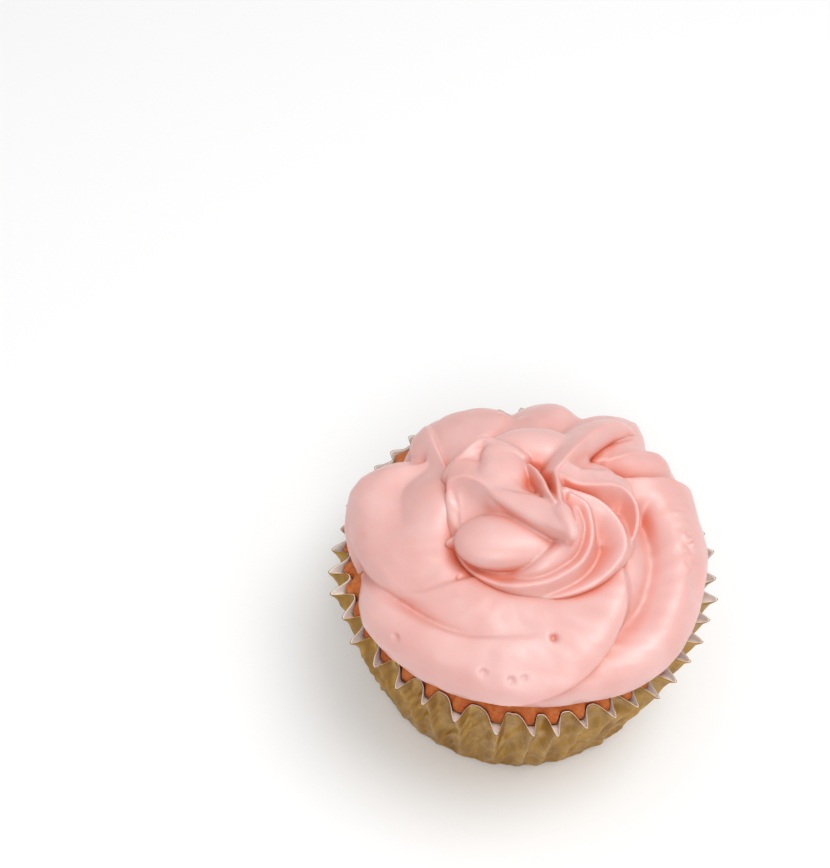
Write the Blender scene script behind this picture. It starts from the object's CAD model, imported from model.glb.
"""A frosted cupcake in a pleated gold baking case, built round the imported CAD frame.

Shapes are worked out in millimetres in the frame's axes (+Z up, origin in the middle of the case's base) and written
to Blender in metres. Angles round the cake are degrees anticlockwise from +X; angles over the frosting rope run from
its outermost line (0) over its top (90) to its inner side (180).
"""
import math
import bpy
import numpy as np
import openvdb
from mathutils import Euler, Matrix


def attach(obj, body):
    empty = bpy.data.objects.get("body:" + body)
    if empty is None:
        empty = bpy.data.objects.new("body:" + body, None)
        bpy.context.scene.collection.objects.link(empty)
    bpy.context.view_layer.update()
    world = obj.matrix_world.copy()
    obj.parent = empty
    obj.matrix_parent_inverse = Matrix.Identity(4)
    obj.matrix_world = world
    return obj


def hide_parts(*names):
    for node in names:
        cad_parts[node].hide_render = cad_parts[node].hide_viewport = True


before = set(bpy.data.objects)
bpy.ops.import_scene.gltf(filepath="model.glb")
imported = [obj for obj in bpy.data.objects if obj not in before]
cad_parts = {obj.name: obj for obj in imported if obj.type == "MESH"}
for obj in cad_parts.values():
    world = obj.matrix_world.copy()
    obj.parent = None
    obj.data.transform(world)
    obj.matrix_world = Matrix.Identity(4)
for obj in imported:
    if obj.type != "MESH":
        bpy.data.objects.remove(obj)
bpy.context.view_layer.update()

MM = 0.001
PER_MM = 1000
TAU = 2 * math.pi


# ---- Camera, light and floor ----------------------------------------------------------------------------------------
# The camera was fitted to the rims and bases of the cupcakes in the photo. Its tilt is from looking straight down,
# and its place, like those of the lights, is in metres.
CAMERA_LENS = 55.4
SENSOR_WIDTH = 36
CAMERA_PLACE = (-0.01742, -0.11171, 0.21004)
CAMERA_TILT = math.radians(36.42)
CAMERA_ROLL = math.radians(0.66)
LIT_POINT = (0.0, 0.0, 0.03)
SKY_AXIS = (0.1, -0.06, 0.99)
SKY_STRENGTH = 0.87
FLOOR_REACH = 2
FLOOR_WHITE = (0.92, 0.92, 0.92, 1)


def add_camera():
    data = bpy.data.cameras.new("camera")
    data.lens = CAMERA_LENS
    data.sensor_width = SENSOR_WIDTH
    camera = bpy.data.objects.new("camera", data)
    turn = Euler((CAMERA_TILT, 0, 0)).to_matrix() @ Matrix.Rotation(CAMERA_ROLL, 3, "Z")
    camera.matrix_world = Matrix.Translation(CAMERA_PLACE) @ turn.to_4x4()
    bpy.context.scene.collection.objects.link(camera)
    bpy.context.scene.camera = camera


def add_area_light(name, place, size, power):
    """A round soft light that faces the middle of the cake."""
    data = bpy.data.lights.new(name, "AREA")
    data.shape = "DISK"
    data.size = size
    data.energy = power
    light = bpy.data.objects.new(name, data)
    aim = np.array(LIT_POINT) - np.array(place)
    light.location = place
    light.rotation_euler = (
        math.atan2(math.hypot(aim[0], aim[1]), -aim[2]), 0, math.atan2(aim[1], aim[0]) - math.pi / 2)
    bpy.context.scene.collection.objects.link(light)


def add_world():
    """White light all round, brightest overhead and dimmer low down and to the left, where the neighbours stand."""
    world = bpy.data.worlds.new("studio")
    world.use_nodes = True
    nodes, links = world.node_tree.nodes, world.node_tree.links
    direction = nodes.new("ShaderNodeTexCoord").outputs["Generated"]
    upward = nodes.new("ShaderNodeVectorMath")
    upward.operation = "DOT_PRODUCT"
    upward.inputs[1].default_value = SKY_AXIS
    ramp = nodes.new("ShaderNodeMapRange")
    ramp.inputs["From Min"].default_value = -0.25
    ramp.inputs["To Min"].default_value = 0.3
    links.new(direction, upward.inputs[0])
    links.new(upward.outputs["Value"], ramp.inputs["Value"])
    links.new(ramp.outputs["Result"], nodes["Background"].inputs["Color"])
    nodes["Background"].inputs["Strength"].default_value = SKY_STRENGTH
    bpy.context.scene.world = world


# ---- Curves and sums over a plane -----------------------------------------------------------------------------------
def smooth_curve(points, steps=8):
    """Points on a Catmull-Rom curve through the given points."""
    points = np.array(points, float)
    ends = np.vstack([2 * points[0] - points[1], points, 2 * points[-1] - points[-2]])
    t = np.linspace(0, 1, steps, endpoint=False)[:, None]
    spans = []
    for a, b, c, d in zip(ends[:-3], ends[1:-2], ends[2:-1], ends[3:]):
        spans.append(b + 0.5 * t * (c - a + t * (2 * a - 5 * b + 4 * c - d + t * (3 * (b - c) + d - a))))
    return np.vstack(spans + [points[-1:]])


def round_values(degrees, pairs):
    """A smooth value for each angle, from (angle, value) pairs that go once round."""
    angles, values = np.array(sorted(pairs), float).T
    angles = np.concatenate([angles - 360, angles, angles + 360])
    curve = smooth_curve(np.column_stack([angles, np.tile(values, 3)]), 12)
    return np.interp((np.asarray(degrees) + 180) % 360 - 180, curve[:, 0], curve[:, 1])


def ease(x):
    """From 0 to 1 with a soft start and end, as x goes from 0 to 1."""
    x = np.clip(x, 0, 1)
    return x * x * (3 - 2 * x)


def bell(x, middle, reach):
    """1 in the middle, falling off over the reach on both sides."""
    return np.exp(-(((x - middle) / reach) ** 2))


def beside(points, x, y):
    """Where each (x, y) lies by a curve: how far to its left (+) or right (-), its share of the way along, and how
    far beyond either end."""
    curve = smooth_curve(points)
    last = len(curve) - 2
    nearest = np.full(np.shape(x), np.inf)
    offset, share, beyond = (np.zeros(np.shape(x)) for _ in range(3))
    for i, (start, end) in enumerate(zip(curve[:-1], curve[1:])):
        step = end - start
        length = math.hypot(*step)
        along = ((x - start[0]) * step[0] + (y - start[1]) * step[1]) / length
        left = ((y - start[1]) * step[0] - (x - start[0]) * step[1]) / length
        over = np.maximum(np.maximum(-along, along - length), 0)
        distance = np.hypot(left, over)
        closer = distance < nearest
        nearest = np.where(closer, distance, nearest)
        at_end = (i == 0) * (along < 0) + (i == last) * (along > length)
        offset = np.where(closer, np.where(at_end, left, np.where(left > 0, distance, -distance)), offset)
        beyond = np.where(closer, at_end * over, beyond)
        share = np.where(closer, (i + np.clip(along / length, 0, 1)) / (last + 1), share)
    return offset, share, beyond


def fold(x, y, points, left, right, fade=(0.2, 0.2), blunt=0.18):
    """Height that a crest, crease or step along a curve adds. Each side is (height at the curve, reach, power)."""
    offset, share, beyond = beside(points, x, y)
    strength = ease(share / fade[0]) * ease((1 - share) / fade[1])
    mix = 0.5 + 0.5 * np.tanh(offset / blunt)
    total = 0
    for weight, distance, (height, reach, power) in ((mix, offset, left), (1 - mix, -offset, right)):
        near = np.sqrt(np.maximum(distance, 0) ** 2 + beyond ** 2 + blunt ** 2) - blunt
        total = total + weight * height * np.exp(-((near / reach) ** power))
    return strength * total


def waves(x, y, seed, size, count=40):
    """Gentle unevenness of about unit height, with bumps about "size" across."""
    random = np.random.default_rng(seed)
    total = 0
    for angle, phase, scale in zip(random.uniform(0, TAU, count), random.uniform(0, TAU, count),
                                   random.uniform(0.7, 1.4, count)):
        rate = math.pi * scale / size
        total = total + np.cos(rate * (math.cos(angle) * x + math.sin(angle) * y) + phase)
    return total * math.sqrt(2 / count)


# ---- Solids from a distance field -----------------------------------------------------------------------------------
def grid_axes(low, high, step):
    """The grid's coordinates along each axis, in mm."""
    return [np.arange(a, b + step, step, dtype=np.float32) for a, b in zip(low, high)]


def blend_max(a, b, width):
    """The larger of two fields, rounded where they cross: a soft intersection."""
    h = np.clip(0.5 + 0.5 * (a - b) / width, 0, 1)
    return b + (a - b) * h + width * h * (1 - h)


def blend_min(a, b, width):
    """The smaller of two fields, rounded where they cross: a soft join."""
    return -blend_max(-a, -b, width)


def soften(field):
    """The field with its sharpest corners taken off, so that edges come out clean on the grid."""
    for axis in range(3):
        field = 0.5 * field + 0.25 * (np.roll(field, 1, axis) + np.roll(field, -1, axis))
    return field


def mesh_from_field(name, field, axes):
    """A smooth closed mesh where the field is zero; the field is negative inside."""
    grid = openvdb.FloatGrid()
    grid.copyFromArray(np.ascontiguousarray(field, dtype=np.float32))
    points, quads = grid.convertToQuads(isovalue=0.0)
    low = np.array([axis[0] for axis in axes])
    step = axes[0][1] - axes[0][0]
    points = (low + points * step) * MM
    corners = points[quads]
    across = np.cross(corners[:, 2] - corners[:, 0], corners[:, 3] - corners[:, 1])
    if (corners.mean(axis=1) * across).sum() < 0:
        quads = quads[:, ::-1]
    return new_mesh(name, points, quads)


def new_mesh(name, points, faces):
    mesh = bpy.data.meshes.new(name)
    mesh.from_pydata(np.asarray(points).tolist(), [], [tuple(face) for face in faces])
    mesh.validate()
    mesh.shade_smooth()
    piece = bpy.data.objects.new(name, mesh)
    bpy.context.scene.collection.objects.link(piece)
    return piece


# ---- Solids from rings of points ------------------------------------------------------------------------------------
def ring_of(radius, angle, height):
    """The points at each angle, in radians, with their radii and heights."""
    return np.column_stack([radius * np.cos(angle), radius * np.sin(angle), np.broadcast_to(height, angle.shape)])


def rings_inside(edge, shares):
    """Rings at shares of an edge ring's size, level with it."""
    return [edge * (share, share, 1) for share in shares]


def mesh_from_rings(name, rings, start, end):
    """A closed mesh from rings of as many points each; two single points close the first and the last ring."""
    count = len(rings[0])
    points = np.vstack(rings + [[start, end]])
    i = np.arange(count)
    j = (i + 1) % count
    faces = []
    for ring in range(len(rings) - 1):
        a, b = ring * count, (ring + 1) * count
        faces += np.column_stack([a + i, a + j, b + j, b + i]).tolist()
    last = (len(rings) - 1) * count
    start_index = len(rings) * count
    faces += [(start_index, q, p) for p, q in zip(i.tolist(), j.tolist())]
    faces += [(start_index + 1, last + p, last + q) for p, q in zip(i.tolist(), j.tolist())]
    return new_mesh(name, points * MM, faces)


# ---- The case's pleats and the sponge's dome, as the frame has them -------------------------------------------------
BASE_RADIUS = 25.0
CASE_HEIGHT = 27.0
RIM_TIP_RADIUS = 31.0
RIM_MEAN_RADIUS = RIM_TIP_RADIUS - 1.55  # halfway between the outward and the inward folds
WALL_SLANT = math.hypot(CASE_HEIGHT, RIM_TIP_RADIUS - BASE_RADIUS)
PLEATS = 44
# The angles of the outward folds that show in front; the others are spread over the back.
FRONT_TIPS = [-173, -166, -157, -149, -139, -130, -121, -111, -99, -89, -82.5, -74, -65.5, -58, -51.5, -44.5, -36.5,
              -29, -22, -14.5, -7.5, 1.5]
CROWN_HEIGHT = 33.0
CAKE_EDGE_HEIGHT = 25.6
CAKE_EDGE_RADIUS = 26.35
CAKE_FLOOR = 0.85
# How far each sheet's outer and inner skins lie inside the case's outer face.
FOIL_SKINS = (0.0, 0.08)
LINER_SKINS = (0.12, 0.25)
CAKE_CLEARANCE = 0.5


def crust_height(radius):
    """Height of the baked crust: a dome that rolls over to the cake's edge."""
    share = np.minimum(1, radius / CAKE_EDGE_RADIUS)
    return CAKE_EDGE_HEIGHT + (CROWN_HEIGHT - CAKE_EDGE_HEIGHT) * (1 - share ** 2.4) ** 0.6


def pleat_size(t):
    """Mean radius and fold depth at share t of the wall: the flat disc of foil has more round than the cup."""
    mean = BASE_RADIUS + (RIM_MEAN_RADIUS - BASE_RADIUS) * t
    slack = (BASE_RADIUS + WALL_SLANT * t) / mean
    return mean, math.pi * mean / PLEATS * np.sqrt(np.maximum(0, slack ** 2 - 1))


class Pleats:
    """The pleats' uneven places and sizes, shared by the foil, the liner and the sponge baked in them."""

    def __init__(self):
        random = np.random.default_rng(11)
        spacing = random.uniform(0.85, 1.15, PLEATS + 1 - len(FRONT_TIPS))
        turned = FRONT_TIPS[-1] + np.cumsum(spacing) / spacing.sum() * (FRONT_TIPS[0] + 360 - FRONT_TIPS[-1])
        self.tips = np.concatenate([FRONT_TIPS, turned])
        self.inner_at = random.uniform(0.27, 0.40, PLEATS)
        # The pleats at the back, which the frosting hides, are pressed in.
        pressed = ease((self.tips[:-1] - 1) / 12) * ease((184 - self.tips[:-1]) / 16)
        self.reach = random.uniform(0.86, 1.08, PLEATS) - 0.45 * pressed
        self.inner = random.uniform(0.86, 1.05, PLEATS)
        self.rim = random.uniform(-0.35, 0.25, PLEATS) - 0.4 * pressed

    def place(self, around, t):
        """For angles and a share of the wall: closeness to the fold (0 at a tip, 1 inside), and the pleats' values."""
        around = around + 0.5 * np.sin(2.1 * t + around / 9) * (1 - t)  # the folds wander on their way up
        turned = (around - self.tips[0]) % 360 + self.tips[0]
        index = np.clip(np.searchsorted(self.tips, turned, side="right") - 1, 0, PLEATS - 1)
        share = (turned - self.tips[index]) / (self.tips[index + 1] - self.tips[index])
        inner_at = self.inner_at[index]
        folded = np.where(share < inner_at, share / inner_at, (1 - share) / (1 - inner_at))
        later = (index + 1) % PLEATS
        mix = ease(share)
        value = {name: getattr(self, name)[index] * (1 - mix) + getattr(self, name)[later] * mix
                 for name in ("reach", "rim")}
        value["inner"] = self.inner[index]
        return folded, value


def fold_shape(folded, around, t):
    """1 at the narrow outward tip and 0 on the broad inward fold. The tips open out at the rim, but less in front."""
    front = bell(around, -95, 40)
    beside_front = 1 - 0.7 * front
    blunt = 0.14 + (0.06 + 0.3 * beside_front) * ease((t - 0.75) / 0.25)
    rounded = (np.hypot(folded, blunt) - blunt) / (np.hypot(1, blunt) - blunt)
    sharpness = 1.1 - 0.8 * bell(around, -15, 25) + 0.9 * front
    return (1 - rounded) ** (1.5 + sharpness * ease(t))


def sheet_radius(pleats, around, t):
    """Radius of the case's outer face, with its folds, dents and creases."""
    mean, depth = pleat_size(t)
    depth = depth * (0.6 + 0.4 * ease(t / 0.3))
    folded, value = pleats.place(around, t)
    shape = fold_shape(folded, around, t)
    out = mean + depth * (value["reach"] * shape - 0.5 * value["inner"] * (1 - shape) - 0.55 * shape)
    out = out + 0.45 * shape * ease((t - 0.88) / 0.12) ** 2
    width = np.radians(around) * mean  # the way round the wall in mm
    low_down = ease(t / 0.08) * (1 - ease((t - 0.2) / 0.25))
    dents = 0.05 * waves(width, CASE_HEIGHT * t, 21, 1.4) - 0.10 * np.abs(waves(width, 20 * t, 22, 2.2, 14))
    dents = dents * (0.2 + bell(around, -72, 20))
    upright = 0.14 * waves(width, 1.2 * t, 23, 1.0) - 0.18 * np.abs(waves(width, 1.6 * t, 24, 1.7, 14))
    crumple = low_down * dents + ease(t / 0.1) * (1 - 0.6 * ease((t - 0.8) / 0.15)) * upright
    corner = 1.3 * np.maximum(0, 1 - CASE_HEIGHT * t / 1.3) ** 2  # the bend between the wall and the base
    return out + crumple - corner


def tucked_paper(t):
    """How far out the liner's inner skin reaches: the paper is tucked into ramps inside the outward folds."""
    mean, depth = pleat_size(t)
    return mean + depth * (-0.2 + 0.85 * ease((t - 0.9) / 0.1)) * ease(t / 0.3) + 0.5 * (1 - ease(t / 0.3))


def build_sheet(name, pleats, skins):
    """One closed thin cup: up the outside from the middle of the base, over the rim and back down the inside."""
    around = np.linspace(-180, 180, PLEATS * 24, endpoint=False)
    levels = np.concatenate([[0, 0.008, 0.02, 0.035, 0.05], np.linspace(0.07, 0.955, 60), [0.97, 0.985, 1.0]])
    angle = np.radians(around)
    rings = []
    for skin, order in ((skins[0], levels), (skins[1], levels[::-1])):
        wall = []
        for t in order:
            radius = sheet_radius(pleats, around, t) - skin
            if skin == LINER_SKINS[1]:
                radius = np.minimum(radius, tucked_paper(t))
            folded, value = pleats.place(around, t)
            sag = 0.5 * fold_shape(folded, around, t) * ease((t - 0.88) / 0.12) ** 2
            height = skin + (CASE_HEIGHT - skin) * t + value["rim"] * ease((t - 0.7) / 0.3) - sag
            wall.append(ring_of(radius, angle, height))
        disc = rings_inside(wall[0] if skin == skins[0] else wall[-1], (0.3, 0.6, 0.8, 0.92))
        rings += disc + wall if skin == skins[0] else wall + disc[::-1]
    return mesh_from_rings(name, rings, (0, 0, skins[0]), (0, 0, skins[1]))


def build_sponge(pleats):
    """The baked sponge: flutes where it filled the pleats, and a domed crust."""
    around = np.linspace(-180, 180, PLEATS * 12, endpoint=False)
    angle = np.radians(around)
    rings = []
    for t in np.linspace(0.0, 0.93, 44):
        mean = pleat_size(t)[0]
        radius = sheet_radius(pleats, around, t) - CAKE_CLEARANCE + 0.15 * ease((t - 0.75) / 0.15)
        radius = blend_min(radius, np.minimum(mean - 0.3 * ease((t - 0.7) / 0.2), tucked_paper(t) - 0.1), 0.3)
        radius = radius - 1.5 * np.maximum(0, 1 - t / 0.06) ** 2
        radius = radius + 0.04 * waves(angle * mean, CASE_HEIGHT * t, 31, 1.6) - 0.1
        rings.append(ring_of(radius, angle, CAKE_FLOOR + t * (CASE_HEIGHT - CAKE_FLOOR)))
    edge = np.hypot(rings[-1][:, 0], rings[-1][:, 1])
    smooth_edge = edge.mean()
    for share in np.concatenate([np.linspace(0.998, 0.9, 14), np.linspace(0.88, 0.04, 60)]):
        fluted = ease((share - 0.9) / 0.1)
        radius = share * (edge * fluted + smooth_edge * (1 - fluted))
        height = crust_height(share * CAKE_EDGE_RADIUS * 0.99) - 0.35 * (edge - smooth_edge) * fluted
        rough = 0.10 * waves(radius * np.cos(angle), radius * np.sin(angle), 33, 1.1) * ease((1 - share) / 0.05)
        rings.append(ring_of(radius, angle, height + rough))
    rings = rings_inside(rings[0], (0.3, 0.6, 0.85, 0.96)) + rings
    return mesh_from_rings("sponge", rings, (0, 0, CAKE_FLOOR), (0, 0, float(crust_height(0))))


# ---- The first turn of frosting -------------------------------------------------------------------------------------
ROPE_HALF_WIDTH = 9.4
ROPE_HALF_HEIGHT = 6.4
ROPE_HEIGHT = 30.6
ROPE_RING_RADIUS = 19.5
ROPE_SECTION_RADIUS = 8.2  # of a circle about as long round as the rope's oval section
RELIEF_GAIN = 1.4
ABOVE_CRUST = 0.05
ABOVE_RIM = 27.5
RIM_STEP_START = 26.1
RIM_STEP_WIDTH = 0.7
FIRST_TURN_GRID = 0.25
# How far out the rope reaches at each angle round the cake.
ROPE_OUTLINE = [(-180, 28.4), (-162, 28.0), (-146, 29.1), (-120, 28.6), (-98, 27.9), (-76, 28.2), (-50, 29.6),
                (-25, 29.0), (0, 28.4), (18, 28.0), (30, 28.0), (37, 26.0), (44, 28.0), (52, 29.2), (60, 28.0),
                (67, 26.6), (77, 27.4), (95, 25.6), (108, 26.2), (120, 26.8), (134, 26.8), (142, 26.0), (150, 27.2),
                (161, 29.0), (172, 28.6)]


def first_turn_relief():
    """Height added over the rope, on a table of angles round the cake by angles over the rope."""
    round_angles = np.arange(-180, 180, 0.4)
    over_angles = np.arange(-180, 180, 1.5)
    around, over = np.meshgrid(round_angles, over_angles, indexing="ij")
    round_mm = math.radians(1) * ROPE_RING_RADIUS
    over_mm = math.radians(1) * ROPE_SECTION_RADIUS
    relief = np.zeros_like(around)

    def add_fold(points, left, right, **more):
        """Adds a fold along (angle round, angle over) points."""
        middle = np.mean([p[0] for p in points])
        turned = (around - middle + 180) % 360 - 180
        laid = [((a - middle) * round_mm, b * over_mm) for a, b in points]
        relief[:] += fold(turned * round_mm, over * over_mm, laid, left, right, **more)

    def add_pit(at, radius, depth):
        turned = (around - at[0] + 180) % 360 - 180
        relief[:] -= depth * np.exp(-((np.hypot(turned * round_mm, (over - at[1]) * over_mm) / radius) ** 4))

    def patch(at, reach, slant=0.0):
        """1 over an oval patch, and 0 away from it."""
        aside, up = around - at[0], over - at[1]
        return np.exp(-((aside / reach[0]) ** 2 + ((up - slant * aside) / reach[1]) ** 2) ** 2)

    # The front band's sharp edge, and the crease beyond its flank.
    add_fold([(-25, 122), (-33, 107), (-41, 95), (-48, 83), (-55, 71), (-61, 59), (-68, 46), (-76, 33), (-86, 18),
              (-98, 4), (-112, -10)], (-0.6, 1.6, 1.2), (1.0, 4.6, 1.2), fade=(0.05, 0.15), blunt=0.1)
    add_fold([(10, 116), (1, 103), (-10, 94), (-18, 88), (-26, 83), (-35, 78), (-44, 72), (-52, 64), (-60, 53),
              (-68, 40), (-78, 25), (-90, 8)], (-2.4, 3.0, 1.7), (-2.2, 1.9, 1.6), fade=(0.08, 0.5), blunt=0.6)
    # The crease under the left lobe's end, which goes on as the soft groove between the two front bands.
    add_fold([(-172, -30), (-165, -10), (-159, 12), (-154, 30), (-148, 44), (-140, 55), (-130, 63), (-118, 69),
              (-104, 76), (-90, 80), (-76, 81)], (-2.7, 3.6, 1.0), (-1.0, 1.3, 1.0), fade=(0.06, 0.65), blunt=0.12)
    add_fold([(-172, -30), (-165, -10), (-159, 12), (-154, 30), (-149, 43), (-145, 52)], (0.5, 2.5, 1.4),
             (-0.2, 1.2, 1.2), fade=(0.2, 0.6))
    # The thin edge where the left lobe and the front bands meet.
    add_fold([(-149, 48), (-147, 67), (-142, 88), (-138, 104), (-131, 124), (-124, 145)], (-0.3, 2.4, 1.2),
             (0.05, 1.4, 1.1), fade=(0.2, 0.1))
    # The groove down the left lobe.
    add_fold([(137, -20), (140, 25), (144, 62), (153, 74), (166, 81), (180, 82), (191, 77), (200, 69)],
             (-1.7, 2.8, 1.5), (-1.5, 3.0, 1.5), fade=(0.3, 0.55), blunt=0.8)
    # The ridge at the left lobe's back end.
    add_fold([(126, 0), (128, 40), (135, 78), (143, 100), (149, 116), (153, 135)], (-0.5, 2.2, 1.1), (0.4, 2.0, 1.1),
             fade=(0.3, 0.1))
    # The back petals.
    add_fold([(93, 0), (94, 45), (98, 72), (106, 88), (120, 97), (136, 108), (150, 122)], (-0.5, 3.0, 1.3),
             (0.1, 2.2, 1.2), fade=(0.1, 0.15), blunt=0.5)
    add_fold([(95, -20), (95, 10), (95, 40), (97, 62)], (-1.3, 2.6, 1.1), (-1.1, 1.4, 1.1), fade=(0.15, 0.3))
    add_fold([(141, -20), (141, 10), (141, 40), (143, 60)], (-1.5, 1.6, 1.1), (-1.5, 1.8, 1.1), fade=(0.15, 0.3))
    add_fold([(50, -10), (49, 30), (49, 60), (52, 85), (57, 110)], (0.6, 2.6, 1.2), (0.3, 1.2, 1.0), fade=(0.15, 0.1))
    add_fold([(64, -15), (65, 30), (68, 60), (74, 90), (82, 115)], (-1.0, 1.8, 1.1), (-0.9, 2.2, 1.4),
             fade=(0.15, 0.15))
    add_fold([(43, 30), (44, 60), (47, 88), (52, 115)], (-0.6, 1.2, 1.2), (-1.0, 2.0, 1.4), fade=(0.3, 0.1))
    # The back right groove, with a steep flank behind it.
    add_fold([(31, -15), (33, 25), (36, 58), (37, 78), (41, 100), (47, 120)], (0.5, 1.6, 1.2), (0.9, 1.2, 1.1),
             fade=(0.15, 0.1))
    add_fold([(18, -10), (19, 20), (20, 40), (22, 60), (23, 76), (27, 98), (33, 120)], (0.5, 2.5, 1.2),
             (-1.8, 2.6, 1.1), fade=(0.15, 0.1), blunt=0.1)
    # A dent in the right edge, a torn strip beside it, and the combed streaks that the strip runs out in.
    relief -= 0.7 * patch((-20, 29), (5, 14))
    torn = patch((-9, 49), (8, 7), slant=0.4)
    relief += torn * (0.36 * np.abs(waves(around * round_mm, over * over_mm, 6, 0.9)) - 0.2)
    combed = patch((4, 52), (9, 16))
    relief += 0.05 * combed * waves(around * round_mm * 1.6, over * over_mm * 0.3, 7, 0.9)
    # Burst air bubbles.
    for at, radius, depth in (((-81.5, 78), 0.5, 0.75), ((-136.5, 31), 0.45, 0.5), ((-106, 40), 0.4, 0.4),
                              ((-97, 38), 0.36, 0.4), ((-93, 42), 0.3, 0.3), ((-135.5, 119), 0.45, 0.5)):
        add_pit(at, radius, depth)
    # The rope rises under the second turn's edge: in front, at the back, and most at the back left.
    under_edge = 0.5 + 0.5 * bell(around, -115, 42)
    relief += under_edge * bell(over, 124, 24) * ease((around + 180) / 30) * ease((15 - around) / 30)
    relief += 0.7 * bell(over, 112, 20) * bell(around, 95, 35)
    relief += 2.5 * bell(over, 126, 24) * bell((around + 14) % 360, 180, 26)
    # Gentle unevenness everywhere but under the second turn.
    ring_x = ROPE_RING_RADIUS * np.cos(np.radians(around)) + over * over_mm * 0.6
    ring_y = ROPE_RING_RADIUS * np.sin(np.radians(around)) + over * over_mm * 0.8
    calm = 1 - 0.9 * ease((over - 95) / 30)
    relief = RELIEF_GAIN * relief + 0.10 * calm * waves(ring_x, ring_y, seed=4, size=5.0)
    relief += 0.035 * calm * waves(ring_x, ring_y, seed=5, size=1.6)
    return relief


def look_up(table, around, over):
    """The relief table's value at each pair of angles."""
    rows, columns = table.shape
    i = (around + 180) * (rows / 360)
    j = (over + 180) * (columns / 360)
    i0 = np.floor(i).astype(int)
    j0 = np.floor(j).astype(int)
    ti = i - i0
    tj = j - j0
    low = table[i0 % rows, j0 % columns] * (1 - tj) + table[i0 % rows, (j0 + 1) % columns] * tj
    high = table[(i0 + 1) % rows, j0 % columns] * (1 - tj) + table[(i0 + 1) % rows, (j0 + 1) % columns] * tj
    return low * (1 - ti) + high * ti


def first_turn_field(axes, relief):
    """The rope with its relief, as a field: an oval section round a spine that follows the outline."""
    x, y, z = np.meshgrid(*axes, indexing="ij", sparse=True)
    around = np.degrees(np.arctan2(y, x))
    radius = np.hypot(x, y)
    spine = round_values(around, ROPE_OUTLINE) - ROPE_HALF_WIDTH
    across = (radius - spine) / ROPE_HALF_WIDTH
    up = (z - ROPE_HEIGHT) / ROPE_HALF_HEIGHT
    size = np.sqrt(across ** 2 + up ** 2)
    over = np.degrees(np.arctan2(up, across))
    reach = np.hypot(ROPE_HALF_WIDTH * across, ROPE_HALF_HEIGHT * up) / np.maximum(size, 0.05)
    return (size - 1) * reach - look_up(relief, around.astype(float), over)


def build_first_turn(relief):
    """The rope, cut off below by the crust and, beyond the cake's edge, by the top of the case."""
    axes = grid_axes((-31, -31, 26.4), (31, 31, 39.6), FIRST_TURN_GRID)
    field = first_turn_field(axes, relief)
    x, y, z = np.meshgrid(*axes, indexing="ij", sparse=True)
    radius = np.hypot(x, y)
    above_rim = ABOVE_RIM * ease((radius - RIM_STEP_START) / RIM_STEP_WIDTH)
    field = blend_max(field, np.maximum(crust_height(radius) + ABOVE_CRUST, above_rim) - z, 0.3)
    return mesh_from_field("frosting_turn_1", soften(field), axes)


# ---- The second turn and its peak -----------------------------------------------------------------------------------
SWIRL_CENTRE = (1.9, 0.2)
SWIRL_RADIUS = 15.6
SWIRL_EDGE_HEIGHT = 35.6
SWIRL_DOME_RISE = 3.0
SWIRL_FOOT_HEIGHT = 32.0
SUNK_IN_FIRST_TURN = 1.0
SECOND_TURN_GRID = 0.2
RIDGE_BLUNT = 0.12
LOBE_UNDERSIDE = 1.6
# How far out the swirl reaches from its centre at each angle.
SWIRL_OUTLINE = [(-180, 14.6), (-150, 15.2), (-120, 15.0), (-90, 15.0), (-60, 15.1), (-30, 15.5), (0, 15.6),
                 (30, 15.4), (60, 15.4), (90, 15.0), (120, 14.8), (150, 15.0)]
PEAK_BEADS = [(4.4, -3.0, 43.6, 1.4), (5.0, -5.2, 44.5, 1.1), (5.6, -6.9, 44.7, 0.8), (5.8, -7.7, 44.4, 0.6)]

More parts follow.
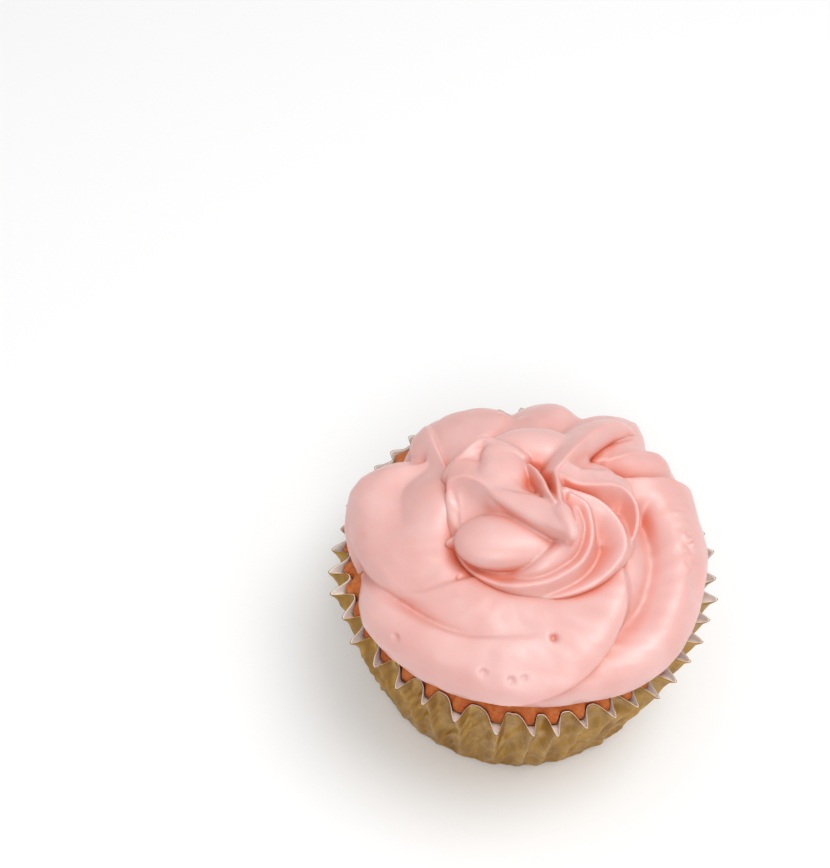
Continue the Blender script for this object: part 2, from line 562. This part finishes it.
# (the left side, the right side, the points of the crest), as ridge() takes them
SWIRL_PETALS = [
    # The petals on the right, each lapping over the next one out.
    ((1.0, 2.6, 1.0), (1.4, 3.5, 1.3), [
        (4.6, 4.2, 43.3, 0.3, 3.4), (7.1, 2.7, 43.1, 0.3, 4.4), (10.0, 2.9, 42.6, 0.4, 4.6),
        (12.6, 3.4, 41.9, 0.8, 4.2), (15.0, 3.1, 41.0, 2.4, 3.4), (16.4, 1.2, 40.2, 3.6, 2.8),
        (16.6, -1.6, 39.6, 4.0, 2.2), (15.7, -4.4, 39.1, 4.0, 1.8), (14.3, -6.6, 38.4, 4.0, 1.6),
        (12.6, -9.2, 37.2, 4.0, 1.6)]),
    ((0.9, 2.0, 1.0), (3.2, 6.5, 1.7), [
        (5.2, 1.5, 43.7, 3.0, 3.0), (8.2, 0.7, 43.4, 5.0, 3.4), (10.4, -0.2, 42.9, 5.0, 3.4),
        (12.3, -1.7, 42.2, 4.4, 3.2), (13.9, -4.1, 41.3, 3.8, 3.0), (14.3, -6.5, 40.5, 3.5, 2.8),
        (13.4, -8.7, 39.9, 3.5, 2.6), (10.9, -11.5, 39.4, 3.5, 2.4), (7.7, -13.6, 38.8, 3.5, 2.2),
        (3.6, -14.6, 38.1, 3.2, 1.8), (0.3, -14.8, 37.0, 2.5, 1.2)]),
    ((1.0, 2.0, 1.0), (2.0, 3.4, 1.6), [
        (6.0, 0.5, 43.8, 3.5, 2.4), (8.3, -0.9, 43.3, 5.0, 2.6), (9.1, -3.1, 42.7, 5.5, 2.6),
        (9.2, -5.8, 42.1, 5.5, 2.4), (8.4, -8.4, 41.4, 5.0, 2.2), (6.6, -10.6, 40.8, 4.5, 2.0),
        (3.5, -12.3, 40.1, 4.0, 2.0), (0.7, -12.9, 39.6, 3.5, 2.0), (-2.6, -13.0, 39.0, 3.5, 2.0),
        (-5.4, -12.2, 38.2, 3.0, 1.8), (-8.6, -10.2, 37.4, 2.5, 1.4), (-11.2, -7.0, 36.8, 2.0, 1.2)]),
    # The wide petal on the left, which narrows into the tongue; its front flank is hollow.
    ((1.5, 3.0, 1.0), (1.5, 5.0, 1.1), [
        (-13.4, 3.0, 39.8, 0.8, 1.6), (-12.0, 4.4, 41.0, 0.8, 2.4), (-10.1, 4.6, 41.9, 0.6, 3.2),
        (-7.8, 3.4, 42.5, 0.6, 4.2), (-4.9, 0.6, 43.1, 0.6, 4.8), (-2.7, -1.2, 43.4, 0.8, 5.2),
        (-0.4, -2.0, 43.2, 1.0, 5.0), (1.6, -3.0, 43.0, 1.0, 5.0)]),
]


def ridge(x, y, points, left, right):
    """Height of a petal's skin, which falls away on both sides of its crest.

    Each point is (x, y, crest height, fall to the left, fall to the right). Each side is (reach, width, power): the
    fall happens within about the reach, with a rounder shoulder for a higher power, and past the width the skin drops.
    """
    points = np.array(points, float)
    offset, share, beyond = beside(points[:, :2], x, y)
    at = np.linspace(0, 1, len(points))
    crest, fall_left, fall_right = (np.interp(share, at, points[:, k]) for k in (2, 3, 4))
    near = np.hypot(offset, RIDGE_BLUNT) - RIDGE_BLUNT
    fall, reach, width, power = (np.where(offset > 0, a, b) for a, b in
                                 zip((fall_left, *left), (fall_right, *right)))
    past = np.maximum(near - width, 0)
    return crest - fall * (1 - np.exp(-((near / reach) ** power))) - 2.5 * past ** 2 / (past + 1) - 1.5 * beyond


def second_turn_height(x, y):
    """Height of the upper swirl's skin over the plan, before its lobes and thin fins are added."""
    share = np.hypot(x - SWIRL_CENTRE[0], y - SWIRL_CENTRE[1]) / SWIRL_RADIUS
    height = SWIRL_EDGE_HEIGHT + SWIRL_DOME_RISE * np.maximum(0, 1 - share ** 2.2) ** 0.62
    height = height + 2.6 * np.exp(-(((x - 1.5) ** 2 + (y - 2.5) ** 2) / 16))
    for left, right, points in SWIRL_PETALS:
        height = blend_max(height, ridge(x, y, points, left, right), 0.35)
    return height + 0.05 * waves(x, y, seed=8, size=3.0)


def egg(x, y, z, centre, sizes, turn, taper):
    """A solid egg turned about the vertical, narrower towards its own +X end, as a field."""
    c, s = math.cos(math.radians(turn)), math.sin(math.radians(turn))
    dx, dy, dz = x - centre[0], y - centre[1], z - centre[2]
    a = (c * dx + s * dy) / sizes[0]
    narrow = np.maximum(1 - taper * a, 0.3)
    b = (c * dy - s * dx) / (sizes[1] * narrow)
    share = np.sqrt(a ** 2 + b ** 2 + (dz / (sizes[2] * np.sqrt(narrow))) ** 2)
    reach = np.sqrt(dx ** 2 + dy ** 2 + dz ** 2) / np.maximum(share, 0.05)
    return (share - 1) * reach


def lobe(x, y, z, points, power):
    """A petal or lobe along a curve, as a solid field.

    Each point is (x, y, height of the crest, width to the left, width to the right, rise). The section is rounded
    for power 2 and has a sharper crest the nearer it is to 1. Below its middle it reaches further than above.
    """
    points = np.array(points, float)
    offset, share, beyond = beside(points[:, :2], x, y)
    curve = smooth_curve(points)
    at = np.linspace(0, 1, len(curve))
    mix = 0.5 + 0.5 * np.tanh(offset / 0.25)
    crest, left, right, rise = (np.interp(share, at, curve[:, k]) for k in (2, 3, 4, 5))
    width = left * mix + right * (1 - mix)
    out = np.hypot(offset / width, beyond / np.minimum(left, right))
    drop = z - (crest - rise)
    up = np.where(drop > 0, drop / rise, -drop / (LOBE_UNDERSIDE * rise))
    size = (out ** power + up ** power) ** (1 / power)
    reach = np.sqrt((out * width) ** 2 + drop ** 2) / np.maximum(size, 0.05)
    return (size - 1) * reach


# (power, how softly it joins, the lobe's points)
SWIRL_LOBES = [
    # The smooth back of the swirl, and the broad petal in front of it.
    (2.0, 1.2, [
        (-5.0, 11.5, 40.4, 2.6, 3.6, 3.0), (-1.0, 12.0, 41.4, 3.6, 4.2, 3.2), (3.5, 11.2, 41.6, 4.2, 4.0, 3.0),
        (6.5, 9.2, 41.0, 3.8, 3.4, 3.0)]),
    (2.5, 0.8, [
        (-4.4, 8.2, 43.0, 3.6, 2.9, 2.3), (-4.1, 6.0, 43.2, 4.2, 3.6, 2.4), (-3.8, 3.8, 43.0, 4.0, 3.5, 2.4),
        (-3.3, 2.0, 42.6, 3.4, 3.4, 2.4)]),
    # The sharp petal on the left, whose edge turns the corner at the back.
    (1.5, 0.4, [
        (-0.6, 8.0, 42.5, 1.2, 1.6, 2.2), (-2.4, 9.1, 42.8, 1.8, 1.8, 2.4), (-4.6, 10.3, 42.7, 2.2, 1.8, 2.6),
        (-6.5, 11.5, 42.2, 2.4, 1.6, 2.6), (-8.1, 10.9, 41.9, 2.4, 1.4, 2.6), (-9.8, 9.4, 41.5, 2.6, 1.4, 2.6),
        (-11.3, 7.8, 40.9, 2.2, 1.3, 2.6), (-12.3, 6.4, 40.3, 1.4, 1.0, 2.4)]),
    (2.2, 0.5, [
        (-10.2, 5.6, 40.8, 2.4, 2.4, 2.6), (-9.0, 7.8, 41.1, 2.4, 2.4, 2.6), (-7.8, 9.2, 41.2, 1.6, 2.0, 2.4)]),
    # The back right petal, whose edge runs out to the rim, with its pit in front.
    (1.3, 0.5, [
        (4.0, 4.8, 43.4, 2.4, 1.3, 3.4), (5.6, 6.9, 43.3, 3.4, 1.4, 3.6), (7.2, 9.1, 42.9, 4.2, 1.5, 3.6),
        (8.8, 11.2, 42.2, 4.4, 1.6, 3.4), (10.7, 13.6, 41.3, 4.2, 1.7, 3.2), (12.7, 15.7, 40.2, 3.6, 1.7, 3.0),
        (14.8, 17.4, 38.8, 3.0, 1.6, 2.8), (16.8, 18.2, 37.0, 2.4, 1.4, 2.6),
        (18.3, 18.0, 35.2, 1.8, 1.2, 2.4)]),
    # The round petal between that pit and the next edge.
    (2.0, 0.6, [
        (5.4, 5.6, 39.4, 0.9, 0.9, 2.0), (7.4, 7.0, 39.9, 1.5, 1.6, 2.4), (9.8, 7.4, 40.2, 2.2, 2.2, 2.6),
        (12.0, 7.0, 39.8, 2.2, 2.4, 2.8), (13.2, 6.0, 39.4, 1.8, 2.0, 2.6)]),
    # The crescent beside the egg-shaped lobe.
    (1.8, 0.4, [
        (-3.6, -10.2, 37.0, 0.8, 0.8, 1.0), (-0.4, -10.6, 39.6, 1.1, 1.0, 1.4),
        (1.7, -9.8, 40.9, 1.7, 1.6, 1.9), (4.2, -7.9, 41.8, 2.0, 2.1, 2.4), (5.8, -6.0, 42.5, 1.8, 2.0, 2.4),
        (6.6, -4.0, 42.9, 1.8, 1.6, 2.4), (6.5, -2.0, 42.8, 1.6, 1.2, 2.2)]),
    # The tongue that runs up to the peak from the left, flat on top with crisp edges.
    (3.5, 0.2, [
        (-6.4, 2.6, 42.3, 0.8, 0.8, 1.4), (-4.6, 0.9, 43.1, 1.1, 1.3, 1.6), (-2.5, -0.3, 43.6, 1.4, 1.9, 1.8),
        (0.4, -1.7, 44.0, 1.9, 2.6, 1.6), (3.0, -3.5, 44.5, 1.9, 2.6, 1.7), (4.6, -5.5, 45.1, 1.4, 1.8, 1.8),
        (5.4, -7.1, 45.1, 0.9, 0.9, 1.4)]),
    # Two thin fins left where the nozzle was pulled away.
    (1.4, 0.4, [
        (0.1, 6.2, 42.9, 0.9, 0.9, 2.2), (0.9, 4.8, 43.6, 1.1, 0.9, 2.6), (1.8, 2.8, 44.1, 1.0, 0.9, 2.6),
        (2.5, 0.4, 44.6, 0.9, 0.9, 2.6), (3.4, -1.8, 45.0, 0.8, 0.8, 2.0)]),
    (1.4, 0.4, [
        (4.0, 4.6, 43.5, 1.2, 1.0, 2.6), (4.2, 1.8, 44.2, 1.0, 0.9, 2.6), (4.2, -0.8, 44.8, 0.9, 0.9, 2.4),
        (4.6, -3.6, 45.4, 0.8, 0.8, 2.0)]),
    # The swell of the left side below its edge, and a small petal that shows under it.
    (2.0, 1.0, [
        (-12.0, 3.0, 38.8, 2.4, 1.2, 2.2), (-11.8, 0.6, 38.4, 2.6, 1.1, 2.2),
        (-11.2, -1.4, 38.2, 2.4, 1.0, 2.0), (-10.0, -3.2, 37.9, 1.8, 0.8, 1.8)]),
    (1.6, 0.3, [
        (-12.2, -4.9, 38.3, 0.5, 0.5, 1.2), (-11.0, -4.6, 38.8, 1.0, 1.0, 1.4),
        (-9.6, -4.8, 39.4, 1.5, 1.5, 1.6)]),
]


def beads(x, y, z, places, width):
    """Balls joined softly along a curve. Each place is (x, y, z, radius)."""
    field = None
    for bx, by, bz, radius in smooth_curve(places, 6):
        ball = np.sqrt((x - bx) ** 2 + (y - by) ** 2 + (z - bz) ** 2) - radius
        field = ball if field is None else blend_min(field, ball, width)
    return field


def build_second_turn(relief):
    """The swirl's skin, walled in by its outline, with its lobes, fins and peak, sunk a little in the first turn."""
    axes = grid_axes((-15.5, -17.0, 31.0), (20.5, 21.5, 48.0), SECOND_TURN_GRID)
    x, y, z = np.meshgrid(*axes, indexing="ij", sparse=True)
    height = second_turn_height(x, y)
    slope = np.hypot(*np.gradient(height[..., 0], SECOND_TURN_GRID))[..., None]
    field = (z - height) / np.sqrt(1 + np.minimum(slope, 6) ** 2)
    out = np.hypot(x - SWIRL_CENTRE[0], y - SWIRL_CENTRE[1])
    around = np.degrees(np.arctan2(y - SWIRL_CENTRE[1], x - SWIRL_CENTRE[0]))
    wall = out - round_values(around, SWIRL_OUTLINE) - 0.25 * (z - 39)
    field = blend_max(field, wall, 0.8)
    egg_lobe = egg(x, y, z, centre=(-2.8, -5.7, 39.0), sizes=(8.6, 4.5, 3.0), turn=-2, taper=0.24)
    field = blend_min(field, egg_lobe, 0.15)
    for power, width, points in SWIRL_LOBES:
        field = blend_min(field, lobe(x, y, z, points, power), width)
    field = blend_min(field, beads(x, y, z, PEAK_BEADS, 0.4), 0.4)
    sunk = first_turn_field(axes, relief) + SUNK_IN_FIRST_TURN
    field = np.maximum(field, -sunk)
    field = np.maximum(field, SWIRL_FOOT_HEIGHT - z)
    return mesh_from_field("frosting_turn_2", soften(field), axes)


# ---- Materials ------------------------------------------------------------------------------------------------------
class Look:
    """A material made of nodes, with short ways to add the ones it needs."""

    def __init__(self, name):
        self.material = bpy.data.materials.new(name)
        self.material.use_nodes = True
        self.tree = self.material.node_tree
        self.shader = self.tree.nodes["Principled BSDF"]
        self.place = self.tree.nodes.new("ShaderNodeTexCoord").outputs["Object"]

    def feed(self, socket, value):
        """Links another node's output to a socket, or sets its value."""
        if isinstance(value, bpy.types.NodeSocket):
            self.tree.links.new(value, socket)
        else:
            socket.default_value = value

    def node(self, kind, inputs, **settings):
        node = self.tree.nodes.new(kind)
        for key, value in settings.items():
            setattr(node, key, value)
        for key, value in inputs.items():
            self.feed(node.inputs[key], value)
        return node

    def noise(self, per_mm, detail=3.0, roughness=0.5, stretch=None):
        vector = self.place
        if stretch:
            vector = self.node("ShaderNodeMapping", {"Vector": vector, "Scale": stretch}).outputs["Vector"]
        return self.node("ShaderNodeTexNoise", {"Vector": vector, "Scale": per_mm * PER_MM, "Detail": detail,
                                                "Roughness": roughness}).outputs["Fac"]

    def ramp(self, factor, stops):
        node = self.node("ShaderNodeValToRGB", {"Fac": factor})
        elements = node.color_ramp.elements
        while len(elements) < len(stops):
            elements.new(0.5)
        for element, (position, colour) in zip(elements, stops):
            element.position = position
            element.color = (*colour, 1)
        return node.outputs["Color"]

    def spread(self, factor, low, high, to_low=0.0, to_high=1.0):
        return self.node("ShaderNodeMapRange", {"Value": factor, "From Min": low, "From Max": high,
                                                "To Min": to_low, "To Max": to_high}).outputs["Result"]

    def mix(self, factor, a, b):
        """Blends two colours. The numbers are those of the mix node's colour sockets."""
        return self.node("ShaderNodeMix", {0: factor, 6: a, 7: b}, data_type="RGBA").outputs[2]

    def bump(self, height, distance_mm, strength=1.0, normal=None):
        inputs = {"Height": height, "Distance": distance_mm * MM, "Strength": strength}
        if normal:
            inputs["Normal"] = normal
        return self.node("ShaderNodeBump", inputs).outputs["Normal"]

    def set(self, **values):
        for key, value in values.items():
            self.feed(self.shader.inputs[key.replace("_", " ")], value)
        return self.material


def buttercream_look():
    """Pale pink, deeper in the creases, with a soft sheen and light that goes in a little way."""
    look = Look("buttercream")
    open_sky = look.node("ShaderNodeAmbientOcclusion", {"Distance": 4 * MM}, samples=8).outputs["AO"]
    openness = look.spread(open_sky, 0.3, 0.9)
    patches = look.noise(0.12, 2)
    pale_pink = look.mix(look.spread(patches, 0.35, 0.65), (0.76, 0.415, 0.38, 1), (0.80, 0.485, 0.455, 1))
    deep_pink = (0.76, 0.22, 0.13, 1)
    colour = look.mix(openness, deep_pink, pale_pink)
    fine = look.bump(look.noise(2.2, 4, 0.6), 0.03, 0.5)
    return look.set(Base_Color=colour, Roughness=look.spread(look.noise(0.8, 3), 0.3, 0.7, 0.32, 0.42),
                    Normal=fine, Subsurface_Weight=0.5, Subsurface_Radius=(1.0, 0.35, 0.22),
                    Subsurface_Scale=1.5 * MM, Specular_IOR_Level=0.9)


def foil_look():
    """Dull gold metal, mottled and finely dented lengthwise."""
    look = Look("gold_foil")
    patches = look.noise(0.5, 4, 0.6, stretch=(1, 1, 0.25))
    gold = look.ramp(patches, [(0.3, (0.31, 0.15, 0.018)), (0.5, (0.41, 0.22, 0.032)), (0.72, (0.54, 0.32, 0.058))])
    dents = look.noise(0.7, 2, 0.5, stretch=(1, 1, 0.2))
    grain = look.noise(2.5, 3)
    normal = look.bump(grain, 0.02, 0.5, look.bump(dents, 0.25, 0.5))
    return look.set(Base_Color=gold, Metallic=0.95, Normal=normal,
                    Roughness=look.spread(look.noise(0.6, 3), 0.3, 0.7, 0.34, 0.52))


def paper_look():
    """Off-white matte paper with faint fibres."""
    look = Look("greaseproof_paper")
    mottled = look.noise(0.9, 4, 0.6)
    colour = look.ramp(mottled, [(0.3, (0.86, 0.80, 0.72)), (0.7, (0.93, 0.89, 0.83))])
    fibres = look.noise(3.0, 4, 0.7, stretch=(1, 1, 0.4))
    return look.set(Base_Color=colour, Roughness=0.62, Normal=look.bump(fibres, 0.05, 0.6),
                    Subsurface_Weight=0.3, Subsurface_Radius=(1, 0.85, 0.7), Subsurface_Scale=0.8 * MM)


def sponge_look():
    """Baked crust above and golden crumb below the case's rim, with fine pores."""
    look = Look("baked_sponge")
    height = look.node("ShaderNodeSeparateXYZ", {"Vector": look.place}).outputs["Z"]
    crumb = look.ramp(look.noise(1.2, 5, 0.65), [(0.3, (0.62, 0.27, 0.07)), (0.7, (0.80, 0.46, 0.16))])
    crust = look.ramp(look.noise(0.7, 5, 0.6), [(0.28, (0.44, 0.09, 0.015)), (0.5, (0.57, 0.15, 0.028)),
                                                (0.75, (0.68, 0.23, 0.055))])
    colour = look.mix(look.spread(height, 22.5 * MM, 25.5 * MM), crumb, crust)
    pores = look.node("ShaderNodeTexVoronoi", {"Vector": look.place, "Scale": 1.5 * PER_MM}).outputs["Distance"]
    holes = look.spread(pores, 0.05, 0.35)
    normal = look.bump(look.noise(1.8, 5, 0.7), 0.3, 0.6, look.bump(holes, 0.25, 0.5))
    return look.set(Base_Color=colour, Roughness=0.72, Normal=normal, Subsurface_Weight=0.2,
                    Subsurface_Radius=(1.0, 0.4, 0.15), Subsurface_Scale=1.0 * MM)


# ---- Assembly -------------------------------------------------------------------------------------------------------
def place(piece, material, body, slot, node):
    """Gives a piece its material, and its body, slot and node of the frame."""
    piece.data.materials.append(material)
    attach(piece, body)
    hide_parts(node)


bpy.context.scene.view_settings.view_transform = "Standard"
add_camera()
add_world()
add_area_light("key", place=(0.18, 0.02, 0.6), size=0.35, power=1.4)
add_area_light("front", place=(0.0, -0.45, 0.5), size=0.3, power=0.95)

pleats = Pleats()
place(build_sheet("pleated_foil", pleats, FOIL_SKINS), foil_look(), "case", "gold_foil", "foil_case")
place(build_sheet("pleated_liner", pleats, LINER_SKINS), paper_look(), "case", "greaseproof_paper", "paper_liner")
place(build_sponge(pleats), sponge_look(), "cake", "baked_sponge", "sponge_cake")
relief = first_turn_relief()
frosting = buttercream_look()
place(build_first_turn(relief), frosting, "cake", "buttercream", "frosting_first_turn")
place(build_second_turn(relief), frosting, "cake", "buttercream", "frosting_second_turn")

floor_corners = [(FLOOR_REACH * x, FLOOR_REACH * y, 0) for x, y in ((-1, -1), (1, -1), (1, 1), (-1, 1))]
floor = new_mesh("floor", floor_corners, [(0, 1, 2, 3)])
floor.data.materials.append(Look("floor_white").set(Base_Color=FLOOR_WHITE, Roughness=0.6))
